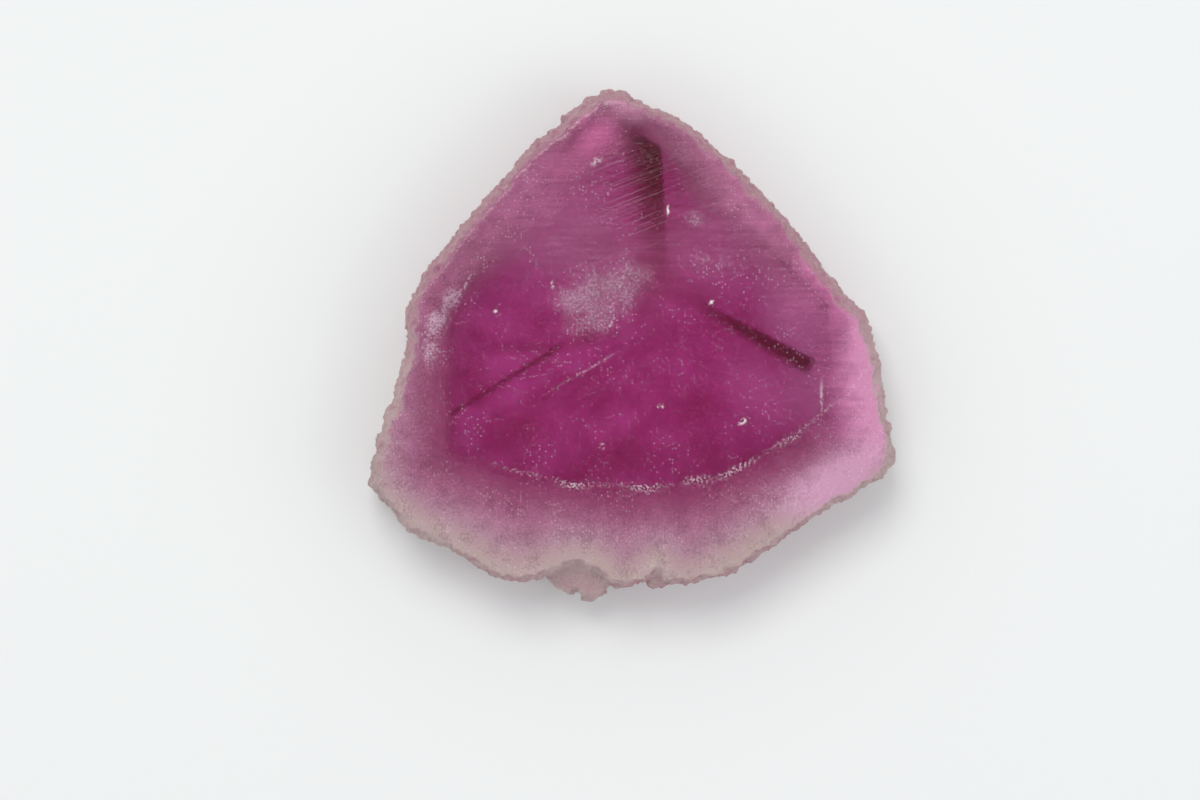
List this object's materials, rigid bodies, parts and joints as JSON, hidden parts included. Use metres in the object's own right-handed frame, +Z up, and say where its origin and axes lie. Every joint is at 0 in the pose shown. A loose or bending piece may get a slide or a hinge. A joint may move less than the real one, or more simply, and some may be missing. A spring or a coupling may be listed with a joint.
{
  "type": "watermelon tourmaline slice",
  "caption": "Cross-cut slice of a tourmaline crystal: a rounded triangle of see-through magenta stone with darker spokes, a pale rim and a rough fluted skin, lying on its back face.",
  "frame": {"origin": "on the sawn back face that the slice lies on, under the middle of its bounding box", "axes": "+Z up out of the polished face, along the crystal's growth axis; +Y towards the slice's top corner and +X to the right, looking down on the polished face"},
  "size_m": [0.0132, 0.0128, 0.0024],
  "materials": {
    "tourmaline": "see-through magenta crystal with a satin sawn face, a milky pale rim and a rough skin"
  },
  "bodies": {
    "root": {"tourmaline_slice": "tourmaline"}
  },
  "joints": []
}
